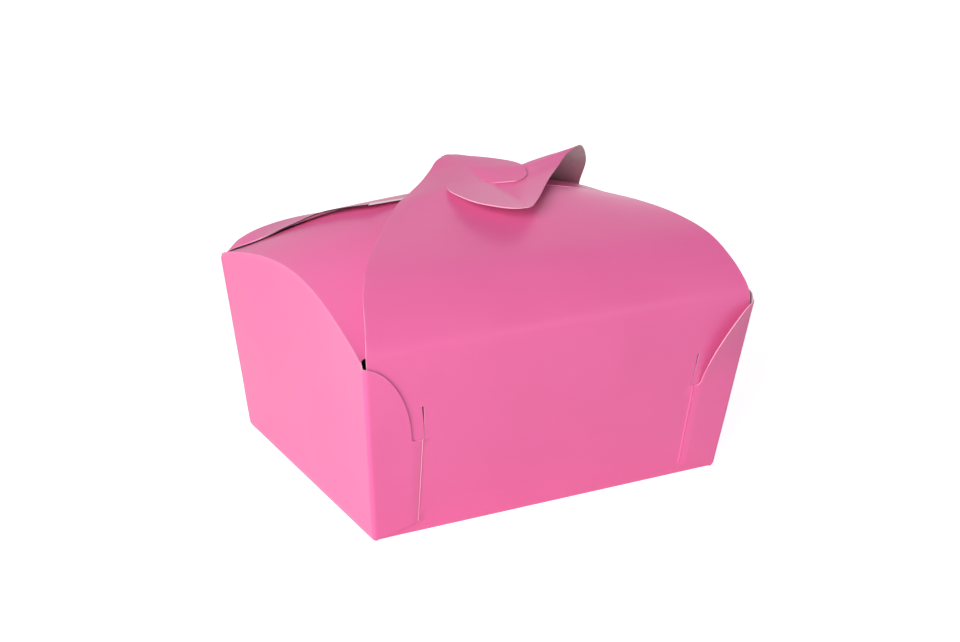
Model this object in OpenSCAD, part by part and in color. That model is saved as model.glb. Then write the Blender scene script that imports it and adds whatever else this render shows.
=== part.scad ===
/* [Tray] */
// Length of the base between the end walls' creases
base_l = 180; // [150:1:190]
// Width of the base between the front and back walls' creases
base_w = 140; // [120:1:150]
// Length across the end walls at the height of the front wall's bend
top_l = 200; // [191:1:240]
// Width across the front and back walls at their bends
top_w = 160; // [151:1:190]
// Height of the front and back walls
wall_h = 88; // [70:1:110]
// Thickness of the board
board_t = 0.5; // [0.4:0.05:0.7]

/* [End walls and end flaps] */
// Rise of the curved crease from the height of the walls' bends to its middle
arc_rise = 16; // [10:0.5:18]
// How far the end walls' corners are rounded down at the ends of the crease
arc_corner = 2; // [1:0.5:4]
// How far the middle of the curved crease is drawn inwards
end_bow = 5; // [0:0.5:6]
// How far each end flap reaches in from its crease
end_flap_reach = 62; // [48:1:64]
// Rise of the left end flap per millimetre at its crease
left_flap_slope = 0.66; // [0.5:0.01:0.7]
// Rise of the right end flap per millimetre at its crease
right_flap_slope = 0.65; // [0.5:0.01:0.70]
// Reach at which an end flap would be level, doubled
end_flap_level = 140; // [130:1:170]
// Clear width between an end flap's sides and the walls
end_flap_gap = 3; // [2:0.5:6]
// How far each side of an end flap draws in towards its rounded end
end_flap_taper = 20; // [14:1:24]

/* [Main flaps] */
// Height of the closure's centre above the walls
crown_rise = 46; // [44:0.5:56]
// Clear width between a main flap's root and the end walls
flap_gap = 1.6; // [1:0.1:3]
// Distance of the closure's centre from the middle, towards the front
centre_shift = 3.6; // [2:0.1:5]
// How far a flap's short side is cut back from the slit that the other flap passes through
slit_relief = 1.5; // [1:0.5:4]
// How far the back flap's long side bulges beside the closure
shoulder_bulge = 4.1; // [2:0.1:5]
// How much flatter the bulge is close to the long side's edge
shoulder_dip = 1.8; // [0:0.1:3]
// How far the back flap rises beside its short edge, which is pressed down on the end flap
edge_roll = 8; // [4:0.2:10]
// How far below the bend the front and back walls start to be drawn finely
bend_zone = 6; // [4:1:10]

/* [Ears] */
// Height of the top of an ear at the corner
ear_h = 86; // [66:1:87]
// Height of the notch beside an ear's hook
ear_notch_h = 47; // [40:1:54]
// Width of an ear from the corner to its slit, at mid height
ear_w = 24; // [18:0.5:30]
// Rise of an ear's lower edge from the corner to the slit
ear_lift = 5.5; // [3:0.5:8]
// Length of the hook behind the wall
hook_w = 9; // [6:0.5:14]
// Height of the slit's top above the base
slit_h = 64; // [60:1:66]
// Clear space between layers of board that lie on each other
layer_gap = 0.25; // [0.15:0.05:0.4]

/* [Hidden] */
pink = [0.93, 0.42, 0.66];

layer_step = board_t + layer_gap;
slit_clear = 1.8;
slit_line = 0.35;
// How far an ear stands proud of the end wall that it is part of
skin = 0.12;

// Half the length and half the width of the tray at height z
function half_l(z) = (base_l + (top_l - base_l) * z / wall_h) / 2;
function half_w(z) = (base_w + (top_w - base_w) * z / wall_h) / 2;

// A point of a closing flap from percent: of half the top's length, of half its width, of the crown's rise.
// The flap starts at y = -100 and meets the other one near y = 0; shift moves the closure's centre.
function at(p, shift) =
    [p[0] * top_l / 200,
     p[1] * top_w / 200 + shift * max(0, 1 - abs(p[1]) / 100),
     wall_h + p[2] * crown_rise / 100];

// A smooth curve through a list of points, at u from 0 to 1
function clamp_index(k, n) = max(0, min(n, k));
function spline(p, u) =
    let (n = len(p) - 1, k = min(n - 1, floor(u * n)), t = u * n - k,
         a = p[clamp_index(k - 1, n)], b = p[k], c = p[k + 1], d = p[clamp_index(k + 2, n)])
    b + t * (c - a) / 2 + t * t * (a - 2.5 * b + 2 * c - d / 2)
    + t * t * t * (1.5 * (b - c) + (d - a) / 2);

// The unit normal of a grid of points at row i and column j
function grid_normal(g, i, j) =
    let (m = len(g) - 1, n = len(g[0]) - 1,
         v = cross(g[min(m, i + 1)][j] - g[max(0, i - 1)][j], g[i][min(n, j + 1)] - g[i][max(0, j - 1)]))
    v / norm(v);

// Board around a surface of triangles: the surface is given thickness along its points' normals
// and is closed along its outline, a loop of point numbers
module board(points, normals, cells, outline) {
    k = len(points);
    n = len(outline);
    upper = [for (i = [0:k - 1]) points[i] + normals[i] * board_t / 2];
    lower = [for (i = [0:k - 1]) points[i] - normals[i] * board_t / 2];
    faces = concat(
        cells,
        [for (c = cells) [c[2] + k, c[1] + k, c[0] + k]],
        [for (i = [0:n - 1]) [outline[i], outline[(i + 1) % n] + k, outline[(i + 1) % n]]],
        [for (i = [0:n - 1]) [outline[i], outline[i] + k, outline[(i + 1) % n] + k]]);
    polyhedron(concat(upper, lower), faces, convexity = 10);
}

// Board around a whole grid of points
module sheet(g) {
    m = len(g) - 1;
    n = len(g[0]) - 1;
    ids = [for (i = [0:m]) [for (j = [0:n]) i * (n + 1) + j]];
    board([for (r = g) for (p = r) p],
        [for (i = [0:m]) for (j = [0:n]) grid_normal(g, i, j)],
        [for (i = [0:m - 1]) for (c = band(ids[i], ids[i + 1])) c],
        concat(ids[0], [for (i = [1:m]) ids[i][n]], [for (j = [n - 1:-1:0]) ids[m][j]],
            [for (i = [m - 1:-1:1]) ids[i][0]]));
}

// A hump on the way from 0 to 1 that is 1 high; the smaller a is beside b, the earlier it peaks
function hump(q, a, b) = pow(q, a) * pow(1 - q, b) * pow((a + b) / a, a) * pow((a + b) / b, b);

// Points from an edge to the centre line: b is four times how far the board bulges half way between them,
// and roll is how far it rises close to the edge, at once with a steep edge
function half_rib(e, c, b, n, roll = 0, steep = 1) =
    [for (j = [0:n]) let (q = j / n) e + (c - e) * q + b * q * (1 - q) + [0, 0, roll * hump(q, steep, 2)]];

// Points from the long side's edge over the centre line to the other edge
function rib(e, c, s, b, b_short, n, dip, roll = 0) =
    concat(half_rib(e, c, b, n, -dip), [for (j = [n - 1:-1:0]) half_rib(s, c, b_short, n, roll, steep_edge)[j]]);

// A row of the front wall at height z
function wall_row(z) =
    let (x = half_l(z) - flap_gap)
    [for (j = [0:2 * flap_cols]) [x * (j / flap_cols - 1), -half_w(z), z]];

// Cells of a grid whose rows start at the points that first and second number
function band(first, second) =
    [for (j = [0:len(first) - 2]) for (c = [[first[j], second[j + 1], second[j]],
        [first[j], first[j + 1], second[j + 1]]]) c];

// Rows of board along a closing flap, and rows along its head and tongue
flap_rows = 18;
flap_cols = 10;
head_rows = 10;
// Four times how far the tip of a head and tongue is rounded beyond straight lines
tip_round = 5;
// How steeply the back flap rises from its short edge: less is steeper
steep_edge = 0.6;
wall_rows = [board_t / 2, wall_h / 3, wall_h * 2 / 3, wall_h - bend_zone];
root_x = 100 - 200 * flap_gap / top_l;

// Rails of the front flap in percent: its long side carries the head, its short side ends at the slit.
// Each runs from the wall's bend towards the closure's centre.
front_long = [[-root_x, -100, 0], [-96, -92, 22], [-89, -70, 53], [-78, -48, 70], [-62, -23, 81], [-47, 0, 88]];
front_mid = [[0, -100, 0], [0, -92, 22], [0, -70, 54], [0, -46, 72], [0, -20, 87.5], [-1.3, 0, 98.8]];
front_short = [[root_x, -100, 0], [96, -92, 22], [89.5, -72, 52], [80, -52, 68], [68, -32, 77.2], [54, -12, 82.6]];
// Onwards from the centre: the head's sloping edge, the tongue's crease and the tongue's outer edge
front_edge = [[-36, 12, 91], [-25, 23, 95], [-16, 33, 100], [-10, 39.8, 105], [-5, 42.8, 108]];
front_crease = [[-1, 11, 102.5], [-1, 20, 104.5], [-1, 28, 105.5], [-1, 36, 107], [0, 43, 108.3]];
front_tongue = [[9.2, -14, 105.4], [15.3, -11.4, 108.6], [18, -2, 112.6], [18.5, 11, 111.5], [13, 28, 109],
    [6, 38.5, 107.6]];
// How the tongue's lip arches over the other flap on the way to the crease
front_arch = [0, -9, 3];

// The same rails of the back flap, turned round: its long side stands higher and its short side lies lower
back_long = [[-root_x, -100, 0], [-96, -90, 12], [-87, -72, 36], [-75, -47, 62], [-65, -23, 97], [-55, -10, 120.5]];
back_mid = [[0, -100, 0], [0, -91, 29], [0, -72, 50], [0, -48, 69], [0, -21, 88.5], [-1.3, 0, 99.4]];
back_short = [[root_x, -100, 0], [96, -90, 10], [89.5, -73, 26.5], [80, -54, 48.8], [69, -36, 70], [55, -12, 86]];
back_edge = [[-44, -3.5, 117.5], [-35, 5, 110], [-24.5, 17, 104], [-14, 31.5, 97.5], [-6.5, 41, 94.5]];
back_crease = [[-1, 12, 99], [-1, 21, 98], [-1, 30, 97], [-1, 38, 96], [0, 45, 94.8]];
back_tongue = [[16.5, -5.1, 101.4], [20.5, -2, 100.8], [22.6, 7, 100], [21.5, 20, 99.3], [18, 31, 98],
    [10, 41.5, 96.2]];
back_arch = [0, 0, 2.5];

// A closing flap with its wall, made at the front: one sheet with a slit between short side and tongue
module closing_flap(long, mid, short, tongue, arch, bulge, dip, roll, shift) {
    m = flap_cols;
    n = 2 * flap_cols;
    // The first half of long and mid belongs to the flap, the second half to its head
    body = concat([for (z = wall_rows) wall_row(z)],
        [for (i = [0:flap_rows])
            let (u = i / flap_rows, l = at(spline(long, u / 2), shift), c = at(spline(mid, u / 2), shift),
                 s = at(spline(short, u), shift), b = c[2] - (l[2] + s[2]) / 2,
                 rolled = roll * hump(u, 0.65, 5))
            [for (j = [0:n]) rib(l, c, s, [0, 0, b + 4 * bulge * pow(u, 4)], [0, 0, b], m, dip * pow(u, 4), rolled)[j]
                - [0, i == flap_rows && j > m ? slit_relief : 0, 0]]]);
    last = len(body) - 1;
    end_l = body[last][0];
    end_s = body[last][n];
    fullness = body[last][m][2] - (end_l[2] + end_s[2]) / 2 + 4 * bulge;
    head = [for (i = [0:head_rows])
        let (u = i / head_rows, fade = pow(1 - u, 2), tip = [0, tip_round * pow(u, 6), 0])
        rib(at(spline(long, (1 + u) / 2), shift), at(spline(mid, (1 + u) / 2), shift), at(spline(tongue, u), shift),
            [0, 0, fullness * fade] + tip, arch * fade + tip, m, dip * fade)];
    w = n + 1;
    k = (last + 1) * w;
    body_ids = [for (i = [0:last]) [for (j = [0:n]) i * w + j]];
    head_ids = [for (i = [0:head_rows]) [for (j = [0:n]) i == 0 && j <= m ? last * w + j : k + i * w + j]];
    cells = concat(
        [for (i = [0:last - 1]) for (c = band(body_ids[i], body_ids[i + 1])) c],
        [for (i = [0:head_rows - 1]) for (c = band(head_ids[i], head_ids[i + 1])) c]);
    outline = concat(
        body_ids[0],
        [for (i = [1:last]) body_ids[i][n]],
        [for (j = [n - 1:-1:m]) body_ids[last][j]],
        [for (j = [m + 1:n]) head_ids[0][j]],
        [for (i = [1:head_rows]) head_ids[i][n]],
        [for (j = [n - 1:-1:0]) head_ids[head_rows][j]],
        [for (i = [head_rows - 1:-1:0]) head_ids[i][0]],
        [for (i = [last - 1:-1:1]) body_ids[i][0]]);
    normals = concat(
        [for (i = [0:last]) for (j = [0:n]) grid_normal(body, i, j)],
        [for (i = [0:head_rows]) for (j = [0:n]) grid_normal(head, i, j)]);
    board(concat([for (r = body) for (p = r) p], [for (r = head) for (p = r) p]), normals, cells, outline);
}

// The height of the curved crease, and the inward bow of an end wall, at fraction v of its half width
function arc_z(v) = wall_h + arc_rise * (1 - pow(abs(v), 1.8)) - arc_corner * pow(abs(v), 40);
function bow(v, z) = end_bow * (1 - v * v) * pow(z / (wall_h + arc_rise), 2);

end_cols = 20;
end_wall_rows = 5;
end_flap_rows = 9;
// Share of an end flap's reach that its rounded corners lose
corner_cut = 0.35;
// How much of its rise an end flap lacks at its sides, under the main flaps' short side and long side
side_sag = [1, 0.7];

function end_wall_row(side, f) =
    [for (j = [0:end_cols])
        let (v = 2 * j / end_cols - 1, z = board_t / 2 + (arc_z(v) - board_t / 2) * f)
        [side * (half_l(z) - bow(v, z)), v * half_w(min(z, wall_h)), z]];

// An end flap runs inwards from the crease: its slope eases off, and its sides draw in
function end_flap_row(side, f) =
    [for (j = [0:end_cols])
        let (v = 2 * j / end_cols - 1, z = arc_z(v), d = end_flap_reach * f * (1 - corner_cut * pow(abs(v), 5)),
             slope = side < 0 ? left_flap_slope : right_flap_slope,
             lift = d * (1 - d / end_flap_level) * slope * (1 - side_sag[side * v < 0 ? 0 : 1] * pow(abs(v), 3.5)),
             y = v * (half_w(wall_h) - (f == 0 ? 0 : end_flap_gap) - end_flap_taper * f * f))
        [side * (half_l(z) - bow(v, z) - d), y, z + lift]];

module end_panel(side) {
    sheet(concat([for (i = [0:end_wall_rows]) end_wall_row(side, i / end_wall_rows)],
        [for (i = [1:end_flap_rows]) end_flap_row(side, i / end_flap_rows)]));
}

// Distance of a slit from the middle at height z: it leans a little more than the corner does
ear_w_height = 0.4;
function slit_x(z) = half_l(z) - ear_w - (top_l - base_l) / 4 * (z / wall_h - ear_w_height);

// An ear's columns run as fractions of the way from the corner to the slit, and past it along the hook.
// Its curved top ends at curve_end, a notch follows, and the hook's far corners are cut off past hook_chamfer_from.
corner_overlap = 0.08;
curve_end = 0.86;
ear_curve = 1.75;
hook_end = 1.35;
hook_chamfer_from = 1.2;
hook_chamfer = 4;
hook_inset = 2;
corner_tuck = 1.5;
ear_cols = concat([-corner_overlap], [for (k = [0:9]) curve_end * sin(k * 10)],
    [0.88, 0.96, 1.02, 1.1, hook_end]);
ear_rows = 3;

// Lower and upper end of an ear's column at fraction f
function ear_low(f) = board_t / 2 + (f <= 1 ? ear_lift * max(0, f)
    : ear_lift + hook_inset + (f > hook_chamfer_from ? hook_chamfer : 0));
function ear_high(f) = f > 1 ? ear_notch_h - hook_inset - (f > hook_chamfer_from ? hook_chamfer : 0)
    : f > curve_end ? ear_notch_h + 1
    : ear_notch_h + 1 + (ear_h - ear_notch_h - 1) * pow(1 - pow(max(0, f) / curve_end, ear_curve), 1 / ear_curve);

module ear(sx, sy) {
    sheet([for (f = ear_cols)
        [for (i = [0:ear_rows])
            let (z = ear_low(f) + (ear_high(f) - ear_low(f)) * i / ear_rows,
                 past = (f - 1) * hook_w / (hook_end - 1),
                 x = f > 1 ? slit_x(z) - past : half_l(z) + skin + (slit_x(z) - half_l(z)) * max(0, f),
                 out = f < 0 ? -corner_tuck : f > 1 ? -layer_step : layer_step)
            [sx * x, sy * (half_w(z) + out), z]]]);
}

// The slit in a wall: a fine cut, opened out beneath the ear where the hook passes through it
module slit(sx, sy) {
    for (part = [[ear_lift, slit_h, slit_line, 0], [ear_lift + 1, ear_notch_h - 1, slit_clear, slit_clear / 2 - 0.5]])
        hull() for (z = [part[0], part[1]])
            translate([sx * (slit_x(z) + part[3]), sy * half_w(z), z]) cube([part[2], 4, 0.02], center = true);
}

module base() {
    translate([-base_l / 2, -base_w / 2, 0]) cube([base_l, base_w, board_t]);
}

module carton() {
    color(pink) union() {
        base();
        for (side = [-1, 1]) end_panel(side);
        difference() {
            union() {
                closing_flap(concat(front_long, front_edge), concat(front_mid, front_crease), front_short,
                    front_tongue, front_arch, 0, 0, 0, -centre_shift);
                rotate([0, 0, 180])
                    closing_flap(concat(back_long, back_edge), concat(back_mid, back_crease), back_short,
                        back_tongue, back_arch, shoulder_bulge, shoulder_dip, edge_roll, centre_shift);
            }
            for (sx = [-1, 1]) for (sy = [-1, 1]) slit(sx, sy);
        }
        for (sx = [-1, 1]) for (sy = [-1, 1]) ear(sx, sy);
    }
}

carton();
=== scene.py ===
"""A folded cake box of pink coated board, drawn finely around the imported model."""

import math

import bpy
from mathutils import Matrix, Vector, noise


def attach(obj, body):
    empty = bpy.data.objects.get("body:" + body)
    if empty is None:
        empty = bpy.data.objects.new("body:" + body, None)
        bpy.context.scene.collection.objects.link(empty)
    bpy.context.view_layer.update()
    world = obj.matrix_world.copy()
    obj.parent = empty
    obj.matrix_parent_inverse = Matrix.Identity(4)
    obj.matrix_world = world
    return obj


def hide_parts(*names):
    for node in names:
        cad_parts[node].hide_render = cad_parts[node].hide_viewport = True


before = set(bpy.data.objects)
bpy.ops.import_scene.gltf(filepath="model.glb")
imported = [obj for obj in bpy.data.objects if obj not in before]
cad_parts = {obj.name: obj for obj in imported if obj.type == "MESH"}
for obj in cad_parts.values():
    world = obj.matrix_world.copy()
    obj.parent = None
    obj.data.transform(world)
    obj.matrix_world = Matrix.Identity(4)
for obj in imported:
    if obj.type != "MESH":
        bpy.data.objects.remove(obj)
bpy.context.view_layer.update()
MM = 0.001

# Sizes are in millimetres, and the lamps' and the floor's in metres

# Tray: base, rim, height, and the board with the air between two layers of it
BASE_L, BASE_W = 180.0, 140.0
TOP_L, TOP_W = 200.0, 160.0
WALL_H = 88.0
BOARD, LAYER_GAP = 0.5, 0.25
LAYER_STEP = BOARD + LAYER_GAP
# Height over which the walls curve in to the base, by how much, and the base's own gap to them
FOOT_H, FOOT_IN, BASE_GAP = 2.0, 0.8, 0.3

# End walls: the crease's rise, its drop at the corners and the powers of both, and how far the wall bows in
ARC_RISE, ARC_POWER, ARC_CORNER, CORNER_POWER = 16.0, 1.8, 2.0, 40
END_BOW = 5.0

# End flaps: length, the length at which they would be level again, gap to the walls and slope by side
REACH, LEVEL, END_GAP = 62.0, 140.0, 0.8
FLAP_SLOPE = {-1: 0.66, 1: 0.65}
# How far their sides draw in, how much shorter their sides are, and by what power of the place across
SIDE_DRAW_IN, SIDE_SHORTER, SHORTER_POWER = 20.0, 0.35, 5
# How much of the rise their two sides lose, and by what power of the place across
SIDE_SAG, SAG_POWER = {-1: 1.0, 1: 0.7}, 3.5
# Share of an end wall's half width that its flap takes
FLAP_SHARE = 0.962

# Closing flaps: gap to the corners, rise of the crown, and how far each is moved off the middle
FLAP_GAP = 1.6
CROWN_RISE = 46.0
CENTRE_SHIFT = 3.6
SLIT_RELIEF, SHOULDER_BULGE, SHOULDER_DIP, EDGE_ROLL = 1.5, 4.1, 1.8, 8.0
# Shape of the rolled edge across the flap and along it
STEEP_EDGE, ROLL_TAIL = 0.6, 2
ROLL_START, ROLL_END = 0.65, 5
# Powers by which the shoulder grows along the flap, the fullness fades in the head and the tip rounds
SHOULDER_POWER, FADE_POWER, TIP_POWER = 4, 2, 6
TIP_ROUND = 5.0
# Passes of smoothing of the bend above a wall, and rows on each side that they reach
BEND_EASE, BEND_REACH = 24, 12

# Slits: top end, half a closed one, and where its sides are from its line where the hook passes through
SLIT_H = 64.0
SLIT_LINE = 0.15
SLIT_OPEN = (-1.0, 1.7)
# Width over which the middle side stands out over the hook and the other side dips in
SHOULDER_W, RIM_RISE, RIM_DIP = 0.7, 0.45, 0.5
# How far the upper part of a slit is moved in: the two front corners in the photograph differ
SLIT_SHIFT = {-1: 2.1, 1: 0.0}
SHIFT_POWER = 0.7

# Ears: height at the corner, height of the notch, width, and rise of the lower edge towards the slit
EAR_H, EAR_NOTCH_H, EAR_W, EAR_LIFT = 86.0, 47.0, 24.0, 5.5
# How far an ear's curve reaches from its fold, its power, and the round notch beyond it
EAR_REACH, EAR_CURVE, NOTCH_R, NOTCH_DROP = 19.8, 1.75, 2.4, 0.3
# The hook is lower than the notch by this on each side, and narrows by the taper for each width of the ear
HOOK_IN, HOOK_TAPER = 2.0, 8
# The hook dives by this under the wall, between these distances from the slit's line
DIVE, DIVE_FROM, DIVE_TO = 1.1, 1.5, 1.0
# Distance over which an ear settles on the wall before that, and how far it stands off there
SETTLE, SETTLED = 3.5, 0.35
# The free part of an ear leans away from the wall, one of the two more, from this height on
EAR_LEAN = {-1: 0.06, 1: 0.52}
LEAN_FROM, LEAN_POWER = 44.0, 1.3
# Radius of the folds at the corners
FOLD_R = 1.5

# How finely the board is drawn
FLAP_ROWS, FLAP_COLS, HEAD_ROWS = 48, 24, 30
END_COLS, END_ROWS, END_FLAP_ROWS = 64, 22, 26
EAR_COLS = 26
FOLD_ANGLES = (22.5, 45, 67.5, 90)
NOTCH_SHARES = (0.04, 0.15, 0.35, 0.65)
HOOK_SHARES = (1.04, 1.1, 1.2, 1.35)
# Rows of an end panel stand closer together towards the base by this power
ROW_POWER = 1.7
# Angle in degrees from which an edge between cells is drawn sharp
SHARP_ANGLE = 32

# Waves of hand-folded board: height and length of the broad and the small ones, and where they begin
BROAD_WAVE, SMALL_WAVE = (0.16, 34), (0.06, 13)
LEVEL_WAVE_SHARE, WAVES_FROM = 0.5, 8

# Light: the world's strength on the object and as seen, and the floor's extra brightness as seen
AMBIENT, BACKDROP, FLOOR_GLOW = 0.12, 1.0, 0.75
KEY_PLACE, KEY_SIZE, KEY_POWER = (-1.20, -0.84, 0.70), (0.9, 0.9), 24.8
FILL_PLACE, FILL_SIZE, FILL_POWER = (1.14, 0.80, 0.86), (1.2, 1.2), 6.0
# A weak lamp at the front right, mirrored in the bends above the walls
SHEEN_PLACE, SHEEN_SIZE, SHEEN_POWER = (0.68, -1.24, 0.52), (0.35, 0.35), 1.2
BODY_MIDDLE, BEND_MIDDLE = (0, 0, 0.06), (0, 0, 0.09)
FLOOR_HALF = 6.0

# Materials by number on the board
OUTSIDE, INSIDE, EDGE = 0, 1, 2
# Colours: the coat in its broad patches, its grain, the painted highlight along creases, and worn rims
PINK, PINK_PALER, PINK_GRAIN = (0.880, 0.150, 0.388), (0.905, 0.162, 0.406), (0.80, 0.10, 0.30)
PINK_CREASE_HIGHLIGHT, PINK_WORN = (0.95, 0.42, 0.62), (0.95, 0.34, 0.56)
# Colours of the uncoated inside, of the cut edge, and the near-black painted shade put on the edge where it
# lies deep in a gap
INSIDE_DARKER, INSIDE_PALER = (0.66, 0.60, 0.58), (0.76, 0.70, 0.68)
EDGE_DARKER, EDGE_PALER, EDGE_PAINTED_SHADE = (0.88, 0.38, 0.54), (0.94, 0.52, 0.66), (0.05, 0.02, 0.03)


# Curves and surfaces

def half_l(z):
    return (BASE_L + (TOP_L - BASE_L) * z / WALL_H) / 2


def half_w(z):
    return (BASE_W + (TOP_W - BASE_W) * z / WALL_H) / 2


PERCENT = 100
HALF_PERCENT = 2 * PERCENT


def at(p, shift):
    """A point of a closing flap from percent of half the length, half the width and the crown's rise."""
    y = p[1] * TOP_W / HALF_PERCENT + shift * max(0.0, 1 - abs(p[1]) / PERCENT)
    return Vector((p[0] * TOP_L / HALF_PERCENT, y, WALL_H + p[2] * CROWN_RISE / PERCENT))


def spline(points, u):
    """A smooth curve through the points, at u from 0 to 1."""
    n = len(points) - 1
    k = min(n - 1, int(u * n))
    t = u * n - k
    a, b, c, d = (Vector(points[max(0, min(n, k + i))]) for i in (-1, 0, 1, 2))
    return (b + t * (c - a) / 2 + t * t * (a - 2.5 * b + 2 * c - d / 2)
            + t ** 3 * (1.5 * (b - c) + (d - a) / 2))


def hump(q, a, b):
    """Rises to 1 on the way from 0 to 1: the smaller a is beside b, the earlier it peaks."""
    return q ** a * (1 - q) ** b * ((a + b) / a) ** a * ((a + b) / b) ** b


def half_rib(e, c, bulge, n, roll=0.0, steep=1.0):
    """Points from an edge to the centre line: bulge is a vector, roll a rise close to the edge."""
    points = []
    for j in range(n + 1):
        q = j / n
        rise = Vector((0, 0, roll * hump(q, steep, ROLL_TAIL)))
        points.append(e + (c - e) * q + bulge * q * (1 - q) + rise)
    return points


def rib(e, c, s, bulge, short_bulge, n, dip, roll=0.0):
    """Points from the long side's edge e over the middle c to the short side's edge s."""
    return half_rib(e, c, bulge, n, -dip) + half_rib(s, c, short_bulge, n, roll, STEEP_EDGE)[-2::-1]


ROOT_X = PERCENT - HALF_PERCENT * FLAP_GAP / TOP_L

# Rails of the front flap in percent. The long side goes on into the head's sloping edge, and the middle
# into the tongue's crease; the first half of each belongs to the flap, the second half to the head.
FRONT = {
    "long": [(-ROOT_X, -100, 0), (-96, -92, 22), (-89, -70, 53), (-78, -48, 70), (-62, -23, 81),
             (-47, 0, 88), (-36, 12, 91), (-25, 23, 95), (-16, 33, 100), (-10, 39.8, 105), (-5, 42.8, 108)],
    "mid": [(0, -100, 0), (0, -92, 22), (0, -70, 54), (0, -46, 72), (0, -20, 87.5), (-1.3, 0, 98.8),
            (-1, 11, 102.5), (-1, 20, 104.5), (-1, 28, 105.5), (-1, 36, 107), (0, 43, 108.3)],
    "short": [(ROOT_X, -100, 0), (96, -92, 22), (89.5, -72, 52), (80, -52, 68), (68, -32, 77.2),
              (54, -12, 82.6)],
    "tongue": [(9.2, -14, 105.4), (15.3, -11.4, 108.6), (18, -2, 112.6), (18.5, 11, 111.5), (13, 28, 109),
               (6, 38.5, 107.6)],
    "arch": (0, -9, 3), "bulge": 0.0, "dip": 0.0, "roll": 0.0,
}
# The same rails of the back flap, turned round: its long side stands higher and its short side lies lower
BACK = {
    "long": [(-ROOT_X, -100, 0), (-96, -90, 12), (-87, -72, 36), (-75, -47, 62), (-65, -23, 97),
             (-55, -10, 120.5), (-44, -3.5, 117.5), (-35, 5, 110), (-24.5, 17, 104), (-14, 31.5, 97.5),
             (-6.5, 41, 94.5)],
    "mid": [(0, -100, 0), (0, -91, 29), (0, -72, 50), (0, -48, 69), (0, -21, 88.5), (-1.3, 0, 99.4),
            (-1, 12, 99), (-1, 21, 98), (-1, 30, 97), (-1, 38, 96), (0, 45, 94.8)],
    "short": [(ROOT_X, -100, 0), (96, -90, 10), (89.5, -73, 26.5), (80, -54, 48.8), (69, -36, 70),
              (55, -12, 86)],
    "tongue": [(16.5, -5.1, 101.4), (20.5, -2, 100.8), (22.6, 7, 100), (21.5, 20, 99.3), (18, 31, 98),
               (10, 41.5, 96.2)],
    "arch": (0, 0, 2.5), "bulge": SHOULDER_BULGE, "dip": SHOULDER_DIP, "roll": EDGE_ROLL,
}


# Building board from points and the cells between them

class Board:
    """Collects sheets of board, each with an outside, an inside and cut edges."""

    def __init__(self):
        self.points = []
        self.faces = []
        self.kinds = []
        self.folds = []
        self.rims = []
        self.shades = []

    def add(self, points, cells, folds=(), shades=()):
        """A surface of quads given thickness: it faces outwards, and its open sides become cut edges.

        folds holds the numbers of the points on creases, and shades pairs of a point's number and the
        strength of the painted shade on its cut edge.
        """
        normals = [Vector() for _ in points]
        sides = {}
        for cell in cells:
            a, b, c, d = (points[i] for i in cell)
            face_normal = (c - a).cross(d - b)
            for i in cell:
                normals[i] += face_normal
            for i, j in zip(cell, cell[1:] + cell[:1]):
                if (j, i) in sides:
                    del sides[j, i]
                else:
                    sides[i, j] = True
        half = [n.normalized() * BOARD / 2 for n in normals]
        k, start = len(points), len(self.points)
        self.points += [p + h for p, h in zip(points, half)] + [p - h for p, h in zip(points, half)]
        for cell in cells:
            self.faces.append([start + i for i in cell])
            self.faces.append([start + k + i for i in reversed(cell)])
            self.kinds += [OUTSIDE, INSIDE]
        for i, j in sides:
            self.faces.append([start + j, start + i, start + i + k, start + j + k])
            self.kinds.append(EDGE)
        creased, rim, dark = set(folds), {i for side in sides for i in side}, dict(shades)
        self.folds += [float(i in creased) for i in range(k)] * 2
        self.rims += [float(i in rim) for i in range(k)] * 2
        self.shades += [dark.get(i, 0.0) for i in range(k)] * 2


def cells_of(ids):
    """Quads between rows of point numbers; None marks a place without board."""
    quads = [[ids[i][j], ids[i][j + 1], ids[i + 1][j + 1], ids[i + 1][j]]
             for i in range(len(ids) - 1) for j in range(len(ids[0]) - 1)]
    return [quad for quad in quads if None not in quad]


# The blank's panels

# Column of a slit, heights between its rows at its ends, and the rows of a wall
SLIT_COL = 18
SLIT_STEP = 0.3
WALL_Z = [BOARD / 2, 0.7, 1.3, FOOT_H, EAR_LIFT, EAR_LIFT + SLIT_STEP, 12, 19, 26, 33, 40,
          EAR_NOTCH_H - SLIT_STEP, EAR_NOTCH_H, 52, 58, SLIT_H - SLIT_STEP, SLIT_H, 68, 71, 74, 77, 79.5, 82,
          84, 86]
# A slit is more upright than the corners, and EAR_W from its corner at this share of the wall's height
SLIT_UPRIGHT, SLIT_TRUE = 4, 0.4


def slit_x(z, hand):
    """Where a slit is at height z: hand is 1 at the front right and back left corners, -1 at the others."""
    shift = SLIT_SHIFT[hand] * min(1.0, z / EAR_NOTCH_H) ** SHIFT_POWER
    return half_l(z) - EAR_W - shift - (TOP_L - BASE_L) / SLIT_UPRIGHT * (z / WALL_H - SLIT_TRUE)


def foot_inset(z):
    """How far a wall curves in close to the base."""
    return FOOT_IN * max(0.0, 1 - z / FOOT_H) ** 2


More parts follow.
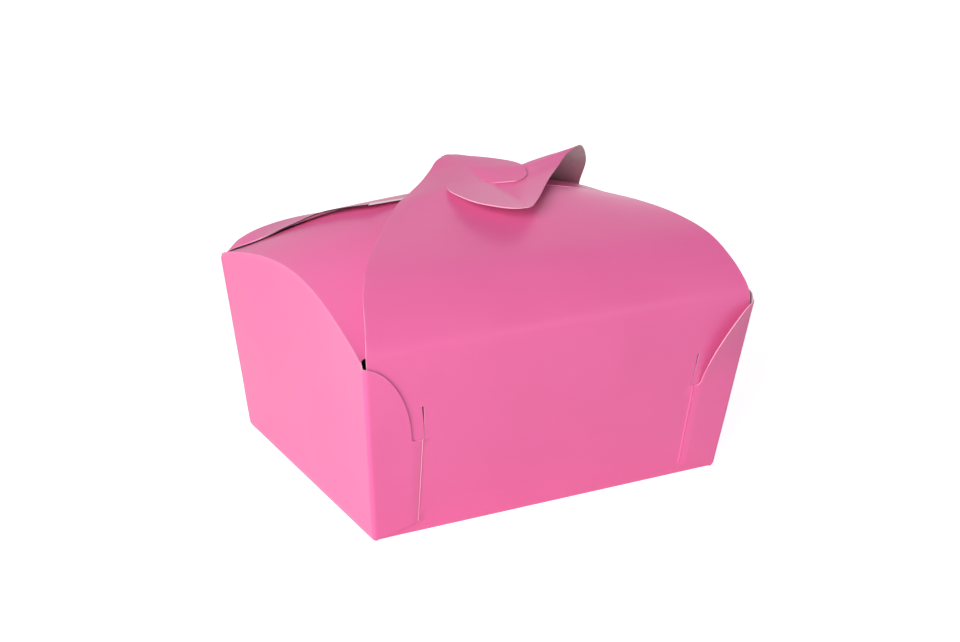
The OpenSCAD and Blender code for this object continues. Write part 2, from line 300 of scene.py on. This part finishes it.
def wall_half(z, hand):
    """Points from a wall's middle to one end at height z: two columns beside each slit, even at the bend."""
    m = FLAP_COLS
    end = half_l(z) - FLAP_GAP
    line = slit_x(z, hand)
    opened = EAR_LIFT < z < EAR_NOTCH_H
    inner, outer = SLIT_OPEN if opened else (SLIT_LINE, SLIT_LINE)
    even = min(1.0, max(0.0, (z - SLIT_H) / (WALL_H - SLIT_H)))
    sides = {SLIT_COL - 1: line - inner - SHOULDER_W, SLIT_COL: line - inner,
             SLIT_COL + 1: line + outer, SLIT_COL + 2: line + outer + SHOULDER_W}
    rise = {SLIT_COL: RIM_RISE, SLIT_COL + 1: -RIM_DIP} if opened else {}
    row = []
    for j in range(m + 1):
        if j in sides:
            x = sides[j]
        elif j < SLIT_COL:
            x = sides[SLIT_COL - 1] * j / (SLIT_COL - 1)
        else:
            x = sides[SLIT_COL + 2] + (end - sides[SLIT_COL + 2]) * (j - SLIT_COL - 2) / (m - SLIT_COL - 2)
        y = -half_w(z) + foot_inset(z) - rise.get(j, 0.0)
        row.append(Vector((hand * (x + (end * j / m - x) * even), y, z)))
    return row


def wall_row(z):
    return wall_half(z, -1)[:0:-1] + wall_half(z, 1)


def eased(rows, middle):
    """The rows with the bend at row middle rounded off; its first and last rows within reach stay."""
    first, last = middle - BEND_REACH, middle + BEND_REACH
    for _ in range(BEND_EASE):
        before = [list(row) for row in rows]
        for i in range(first + 1, last):
            rows[i] = [(p + 2 * q + r) / 4 for p, q, r in zip(before[i - 1], before[i], before[i + 1])]
    return rows


def slit_cells(ids):
    """The cells that a wall's slits take away."""
    rows = [i for i in range(len(WALL_Z) - 1) if EAR_LIFT <= WALL_Z[i] < SLIT_H]
    m = FLAP_COLS
    columns = (m + SLIT_COL, m - SLIT_COL - 1)
    return [[ids[i][j], ids[i][j + 1], ids[i + 1][j + 1], ids[i + 1][j]] for i in rows for j in columns]


# The low side's cut edge is painted dark, as painted shade of the gap under it, from this share of its
# length, and fully after the ramp
SHADE_FROM, SHADE_RAMP = 0.42, 0.12


def closing_flap(board, rails, side):
    """The front panel, side -1, or the back one turned round: wall, dome, head and tongue in one sheet."""
    shift = CENTRE_SHIFT * side
    m, n = FLAP_COLS, 2 * FLAP_COLS
    body = [wall_row(z) for z in WALL_Z]
    for i in range(FLAP_ROWS + 1):
        u = i / FLAP_ROWS
        l, c = (at(spline(rails[name], u / 2), shift) for name in ("long", "mid"))
        s = at(spline(rails["short"], u), shift)
        natural = c.z - (l.z + s.z) / 2
        fullness = natural + 4 * rails["bulge"] * u ** SHOULDER_POWER
        roll = rails["roll"] * hump(u, ROLL_START, ROLL_END)
        dip = rails["dip"] * u ** SHOULDER_POWER
        body.append(rib(l, c, s, Vector((0, 0, fullness)), Vector((0, 0, natural)), m, dip, roll))
    body = eased(body, len(WALL_Z))
    for j in range(m + 1, n + 1):
        body[-1][j] = body[-1][j] - Vector((0, SLIT_RELIEF * min(1, (j - m) / 2), 0))
    head = []
    for i in range(HEAD_ROWS + 1):
        u = i / HEAD_ROWS
        fade = (1 - u) ** FADE_POWER
        tip = Vector((0, TIP_ROUND * u ** TIP_POWER, 0))
        e, c = (at(spline(rails[name], (1 + u) / 2), shift) for name in ("long", "mid"))
        t = at(spline(rails["tongue"], u), shift)
        full = Vector((0, 0, fullness * fade))
        arch = Vector(rails["arch"]) * fade
        head.append(rib(e, c, t, full + tip, arch + tip, m, rails["dip"] * fade))
    w, last = n + 1, len(body) - 1
    body_ids = [[i * w + j for j in range(w)] for i in range(last + 1)]
    head_ids = [[last * w + j if i == 0 and j <= m else (last + 1 + i) * w + j for j in range(w)]
                for i in range(HEAD_ROWS + 1)]
    points = [p if side < 0 else Vector((-p.x, -p.y, p.z)) for row in body + head for p in row]
    cut = slit_cells(body_ids)
    folds = [row[m] for row in head_ids]
    shades = []
    if side > 0:
        for i in range(FLAP_ROWS + 1):
            # Painted shade: how dark the low side's cut edge is painted along its length
            dark = (i / FLAP_ROWS - SHADE_FROM) / SHADE_RAMP
            shades.append((body_ids[len(WALL_Z) + i][n], min(1.0, max(0.0, dark))))
        # The slit's cut edge is painted fully dark as shade too
        shades += [(i, 1.0) for i in body_ids[last][m + 2:]]
    cells = [cell for cell in cells_of(body_ids) if cell not in cut] + cells_of(head_ids)
    board.add(points, cells, folds, shades)


def arc_z(v):
    """Height of an end wall's curved crease at v from -1 to 1."""
    return WALL_H + ARC_RISE * (1 - abs(v) ** ARC_POWER) - ARC_CORNER * abs(v) ** CORNER_POWER


def bow(v, z):
    """How far an end wall bows in."""
    return END_BOW * (1 - v * v) * (z / (WALL_H + ARC_RISE)) ** 2


def lean(d, z, hand):
    """How far an ear stands off its wall at the distance d from its fold."""
    height = min(1.0, max(0.0, (z - LEAN_FROM) / (EAR_H - LEAN_FROM)))
    return EAR_LEAN[hand] * height ** LEAN_POWER * d


def row_z(i, low, high):
    """Height of row i of an end panel between low and high."""
    return low + (high - low) * (i / END_ROWS) ** ROW_POWER


def ear_column(d, hand):
    """A column of an ear from its lower edge up, at the distance d from the corner's fold."""
    width = EAR_W + SLIT_SHIFT[hand]
    f = d / width
    low = BOARD / 2 + EAR_LIFT * f
    floor = EAR_NOTCH_H - NOTCH_DROP
    if d < EAR_REACH:
        share = (1 - (d / EAR_REACH) ** EAR_CURVE) ** (1 / EAR_CURVE)
        high = floor + NOTCH_R + (EAR_H - floor - NOTCH_R) * share
    else:
        q = min(1.0, (d - EAR_REACH) / NOTCH_R)
        high = floor + NOTCH_R * (1 - math.sqrt(q * (2 - q)))
    if f > 1:
        low += HOOK_IN + HOOK_TAPER * (f - 1)
        high -= HOOK_IN + HOOK_TAPER * (f - 1)
    dive = max(0.0, min(1.0, (d - width + DIVE_FROM) / (DIVE_FROM - DIVE_TO)))
    settle = max(0.0, min(1.0, (width - DIVE_FROM - d) / SETTLE))
    column = []
    for i in range(END_ROWS + 1):
        z = row_z(i, low, high)
        out = (LAYER_STEP + lean(d, z, hand)) * settle + SETTLED * (1 - settle) - DIVE * dive
        x = half_l(z) + (slit_x(z, hand) - half_l(z)) * f
        column.append(Vector((x, half_w(z) + out - foot_inset(z), z)))
    return column


def corner_column(angle, hand):
    """A column in the rounded fold between an end wall and an ear."""
    column = []
    for i in range(END_ROWS + 1):
        z = row_z(i, BOARD / 2, EAR_H)
        inward = FOLD_R * (1 - math.cos(angle))
        off = lean(inward, z, hand) * math.sin(angle)
        y = half_w(z) + LAYER_STEP + off - foot_inset(z) - FOLD_R * (1 - math.sin(angle))
        column.append(Vector((half_l(z) - foot_inset(z) - inward, y, z)))
    return column


def ear_columns(hand):
    """An ear's columns from its fold to the tip of its hook."""
    width = EAR_W + SLIT_SHIFT[hand]
    places = [EAR_REACH * math.sin(math.pi / 2 * k / EAR_COLS) for k in range(2, EAR_COLS + 1)]
    places += [EAR_REACH + NOTCH_R * share for share in NOTCH_SHARES]
    places += [width - DIVE_FROM, width - DIVE_FROM + 0.2, width - DIVE_TO, width - 0.3, width]
    places += [width * share for share in HOOK_SHARES]
    folded = [corner_column(math.radians(a), hand) for a in FOLD_ANGLES]
    return folded + [ear_column(d, hand) for d in places]


def end_column(v, side):
    """A column of an end wall at v from -1 to 1, and of the flap that folds in from its curved crease."""
    column = []
    for i in range(END_ROWS + 1):
        z = row_z(i, BOARD / 2, arc_z(v))
        outer = half_w(min(z, WALL_H)) + LAYER_STEP - foot_inset(z)
        y = min(abs(v) * outer, outer - FOLD_R)
        column.append(Vector((half_l(z) - bow(v, z) - foot_inset(z), math.copysign(y, v), z)))
    if abs(v) > FLAP_SHARE:
        return column
    for i in range(1, END_FLAP_ROWS + 1):
        f = i / END_FLAP_ROWS
        z = arc_z(v)
        d = REACH * f * (1 - SIDE_SHORTER * abs(v) ** SHORTER_POWER)
        sag = SIDE_SAG[-1 if v < 0 else 1]
        lift = d * (1 - d / LEVEL) * FLAP_SLOPE[side] * (1 - sag * abs(v) ** SAG_POWER)
        y = v * (half_w(WALL_H) - END_GAP - SIDE_DRAW_IN * f * f)
        column.append(Vector((half_l(z) - bow(v, z) - d, y, z + lift)))
    return column


def end_panel(board, side):
    """An end wall with the flap above its curved crease and an ear folded round each corner."""
    first, second = ([[Vector((p.x, y * p.y, p.z)) for p in column] for column in ear_columns(-y)]
                     for y in (-1, 1))
    shares = [-1.0] + [FLAP_SHARE * (2 * j / END_COLS - 1) for j in range(END_COLS + 1)] + [1.0]
    columns = first[::-1] + [end_column(v, side) for v in shares] + second
    height = max(len(column) for column in columns)
    points, ids = [], []
    for column in columns:
        ids.append([len(points) + i if i < len(column) else None for i in range(height)])
        points += [Vector((side * p.x, side * p.y, p.z)) for p in column]
    arc = [column[END_ROWS] for column in ids[len(first):-len(second)]]
    board.add(points, cells_of(list(zip(*ids))), arc)


def base(board):
    l, w = BASE_L / 2 - FOOT_IN - BASE_GAP, BASE_W / 2 - FOOT_IN - BASE_GAP
    corners = [Vector((x, y, BOARD / 2)) for y in (-w, w) for x in (-l, l)]
    board.add(corners, [[0, 2, 3, 1]])


# Shifts that make the small waves, and the waves along y and z, differ from the others
SMALL_APART, ALONG_Y, ALONG_Z = Vector((7, 1, 4)), Vector((90, 0, 0)), Vector((0, 90, 0))


def uneven(p):
    """Height of the gentle waves of hand-folded board."""
    (high, long), (low, short) = BROAD_WAVE, SMALL_WAVE
    return high * noise.noise(p / long) + low * noise.noise(p / short + SMALL_APART)


def waved(p):
    """The point moved by the waves, which begin above the base."""
    move = Vector((uneven(p), uneven(p + ALONG_Y), LEVEL_WAVE_SHARE * uneven(p + ALONG_Z)))
    return p + move * min(1, p.z / WAVES_FROM)


def board_object(name, board, materials):
    mesh = bpy.data.meshes.new(name)
    points = [waved(p) for p in board.points]
    mesh.from_pydata([tuple(p * MM) for p in points], [], board.faces)
    for material in materials:
        mesh.materials.append(material)
    mesh.polygons.foreach_set("material_index", board.kinds)
    mesh.polygons.foreach_set("use_smooth", [True] * len(board.kinds))
    mesh.set_sharp_from_angle(angle=math.radians(SHARP_ANGLE))
    for key, values in (("fold", board.folds), ("rim", board.rims), ("shade", board.shades)):
        mesh.attributes.new(key, "FLOAT", "POINT").data.foreach_set("value", values)
    mesh.update()
    obj = bpy.data.objects.new(name, mesh)
    bpy.context.collection.objects.link(obj)
    return obj


# Materials

def material(name):
    mat = bpy.data.materials.new(name)
    mat.use_nodes = True
    nodes, links = mat.node_tree.nodes, mat.node_tree.links
    return mat, nodes, links, nodes["Principled BSDF"]


def noise_at(nodes, links, scale, detail=2.0):
    """Noise in object coordinates: scale waves to a metre."""
    place = nodes.new("ShaderNodeTexCoord")
    texture = nodes.new("ShaderNodeTexNoise")
    texture.inputs["Scale"].default_value = scale
    texture.inputs["Detail"].default_value = detail
    links.new(place.outputs["Object"], texture.inputs["Vector"])
    return texture.outputs["Fac"]


def ranged(nodes, links, value, low, high, start=0.0, end=1.0):
    """The value brought from start..end to low..high."""
    span = nodes.new("ShaderNodeMapRange")
    for key, number in (("From Min", start), ("From Max", end), ("To Min", low), ("To Max", high)):
        span.inputs[key].default_value = number
    links.new(value, span.inputs["Value"])
    return span.outputs[0]


def maths(nodes, links, operation, first, second):
    node = nodes.new("ShaderNodeMath")
    node.operation = operation
    for socket, value in zip(node.inputs, (first, second)):
        if isinstance(value, float):
            socket.default_value = value
        else:
            links.new(value, socket)
    return node.outputs[0]


def line_of(nodes, links, key, sharpness):
    """The attribute of that name, narrowed to a line along the points where it is 1."""
    attribute = nodes.new("ShaderNodeAttribute")
    attribute.attribute_name = key
    return maths(nodes, links, "POWER", attribute.outputs["Fac"], sharpness)


def mixed(nodes, links, share, first, second):
    """A colour between two, each a colour or an output."""
    node = nodes.new("ShaderNodeMix")
    node.data_type = "RGBA"
    links.new(share, node.inputs["Factor"])
    for socket, value in ((node.inputs[6], first), (node.inputs[7], second)):
        if isinstance(value, tuple):
            socket.default_value = (*value, 1)
        else:
            links.new(value, socket)
    return node.outputs[2]


def bumped(nodes, links, shader, height, distance):
    """The surface raised by the height, at 1 by the distance in millimetres."""
    bump = nodes.new("ShaderNodeBump")
    bump.inputs["Strength"].default_value = 1.0
    bump.inputs["Distance"].default_value = distance * MM
    links.new(height, bump.inputs["Height"])
    links.new(bump.outputs["Normal"], shader.inputs["Normal"])


def coated_board():
    """Satin coat: uneven pink, a painted highlight as a paler line along creases, worn rims paler too, with
    the board's grain under it.
    """
    mat, nodes, links, shader = material("coated_pink")
    broad = ranged(nodes, links, noise_at(nodes, links, 22.0), 0.0, 1.0, 0.3, 0.7)
    fine = noise_at(nodes, links, 650.0, 3.0)
    fold = line_of(nodes, links, "fold", 5.0)
    rim = line_of(nodes, links, "rim", 9.0)
    wear = ranged(nodes, links, noise_at(nodes, links, 160.0), 0.1, 0.6, 0.4, 0.65)
    worn = maths(nodes, links, "MULTIPLY", rim, wear)
    pink = mixed(nodes, links, broad, PINK, PINK_PALER)
    pink = mixed(nodes, links, ranged(nodes, links, fine, 0.0, 0.06), pink, PINK_GRAIN)
    # Painted highlight: a paler line along the creases
    pink = mixed(nodes, links, maths(nodes, links, "MULTIPLY", fold, 0.14), pink, PINK_CREASE_HIGHLIGHT)
    pink = mixed(nodes, links, worn, pink, PINK_WORN)
    links.new(pink, shader.inputs["Base Color"])
    links.new(ranged(nodes, links, broad, 0.36, 0.42), shader.inputs["Roughness"])
    shader.inputs["Specular IOR Level"].default_value = 0.42
    grain = maths(nodes, links, "MULTIPLY", fine, 0.25)
    bumped(nodes, links, shader, maths(nodes, links, "ADD", grain, fold), 0.03)
    return mat


def plain_board():
    """The uncoated inside: grey-white, matt, with fibres."""
    mat, nodes, links, shader = material("inner_white")
    fibre = noise_at(nodes, links, 420.0, 5.0)
    links.new(mixed(nodes, links, fibre, INSIDE_DARKER, INSIDE_PALER), shader.inputs["Base Color"])
    links.new(ranged(nodes, links, fibre, 0.80, 0.92), shader.inputs["Roughness"])
    shader.inputs["Specular IOR Level"].default_value = 0.3
    bumped(nodes, links, shader, fibre, 0.03)
    return mat


def cut_edge():
    """The board's pale core between pink coats, painted dark as shade where the edge lies deep in a gap."""
    mat, nodes, links, shader = material("cut_edge")
    fibre = noise_at(nodes, links, 900.0, 4.0)
    pale = mixed(nodes, links, fibre, EDGE_DARKER, EDGE_PALER)
    # Painted shade: the edge's colour goes to near black by the shade attribute
    shade = line_of(nodes, links, "shade", 1.0)
    links.new(mixed(nodes, links, shade, pale, EDGE_PAINTED_SHADE), shader.inputs["Base Color"])
    links.new(ranged(nodes, links, fibre, 0.82, 0.95), shader.inputs["Roughness"])
    shader.inputs["Specular IOR Level"].default_value = 0.2
    bumped(nodes, links, shader, fibre, 0.02)
    return mat


# Camera, light and floor

def add_camera():
    """The photograph's view, from a fit of the tray's corners in a picture 960 pixels wide."""
    azimuth, elevation, roll = (math.radians(a) for a in (-29.204, 20.715, 1.447))
    focal_px, distance, side, height = 1910.6, 932.1, 1.22, 60.18
    picture_w, film_w, far_end = 960, 36, 50
    back = Vector((math.sin(azimuth) * math.cos(elevation), -math.cos(azimuth) * math.cos(elevation),
                   math.sin(elevation)))
    level = Vector((math.cos(azimuth), math.sin(azimuth), 0))
    upright = back.cross(level)
    right = math.cos(roll) * level + math.sin(roll) * upright
    up = -math.sin(roll) * level + math.cos(roll) * upright
    data = bpy.data.cameras.new("camera")
    data.sensor_width = film_w
    data.lens = focal_px * data.sensor_width / picture_w
    data.clip_end = far_end
    cam = bpy.data.objects.new("camera", data)
    turn = Matrix((right, up, back)).transposed().to_4x4()
    place = (side * right + height * up + distance * back) * MM
    cam.matrix_world = Matrix.Translation(place) @ turn
    bpy.context.collection.objects.link(cam)
    bpy.context.scene.camera = cam


def area_light(name, place, target, size, power):
    data = bpy.data.lights.new(name, "AREA")
    data.shape = "RECTANGLE"
    data.size, data.size_y = size
    data.energy = power
    lamp = bpy.data.objects.new(name, data)
    lamp.location = place
    lamp.rotation_euler = (Vector(target) - Vector(place)).to_track_quat("-Z", "Y").to_euler()
    bpy.context.collection.objects.link(lamp)


def brighter_when_seen(nodes, links, plain, seen):
    """A strength that is plain as light, and seen for the camera, in reflections and through glass."""
    path = nodes.new("ShaderNodeLightPath").outputs
    mirrored = maths(nodes, links, "MAXIMUM", path["Is Camera Ray"], path["Is Glossy Ray"])
    shown = maths(nodes, links, "MAXIMUM", mirrored, path["Is Transmission Ray"])
    return ranged(nodes, links, shown, plain, seen)


def add_light():
    scene = bpy.context.scene
    scene.view_settings.view_transform = "Standard"
    world = bpy.data.worlds.new("studio")
    scene.world = world
    world.use_nodes = True
    nodes, links = world.node_tree.nodes, world.node_tree.links
    background = nodes["Background"]
    background.inputs["Color"].default_value = (1, 1, 1, 1)
    links.new(brighter_when_seen(nodes, links, AMBIENT, BACKDROP), background.inputs["Strength"])
    area_light("key", KEY_PLACE, BODY_MIDDLE, KEY_SIZE, KEY_POWER)
    area_light("fill", FILL_PLACE, BODY_MIDDLE, FILL_SIZE, FILL_POWER)
    area_light("sheen", SHEEN_PLACE, BEND_MIDDLE, SHEEN_SIZE, SHEEN_POWER)


def add_floor():
    mesh = bpy.data.meshes.new("floor")
    r = FLOOR_HALF
    mesh.from_pydata([(-r, -r, 0), (r, -r, 0), (r, r, 0), (-r, r, 0)], [], [(0, 1, 2, 3)])
    floor = bpy.data.objects.new("floor", mesh)
    bpy.context.collection.objects.link(floor)
    mat, nodes, links, shader = material("floor")
    shader.inputs["Base Color"].default_value = (0.9, 0.9, 0.9, 1)
    shader.inputs["Roughness"].default_value = 0.9
    shader.inputs["Specular IOR Level"].default_value = 0.0
    shader.inputs["Emission Color"].default_value = (1, 1, 1, 1)
    links.new(brighter_when_seen(nodes, links, 0.0, FLOOR_GLOW), shader.inputs["Emission Strength"])
    mesh.materials.append(mat)


def main():
    add_camera()
    add_light()
    add_floor()
    board = Board()
    closing_flap(board, FRONT, -1)
    closing_flap(board, BACK, 1)
    materials = [coated_board(), plain_board(), cut_edge()]
    flaps = board_object("closing_flaps", board, materials)
    board = Board()
    base(board)
    for side in (-1, 1):
        end_panel(board, side)
    tray = board_object("ends_and_base", board, materials)
    for piece in (flaps, tray):
        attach(piece, "root")
    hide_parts("carton")


main()
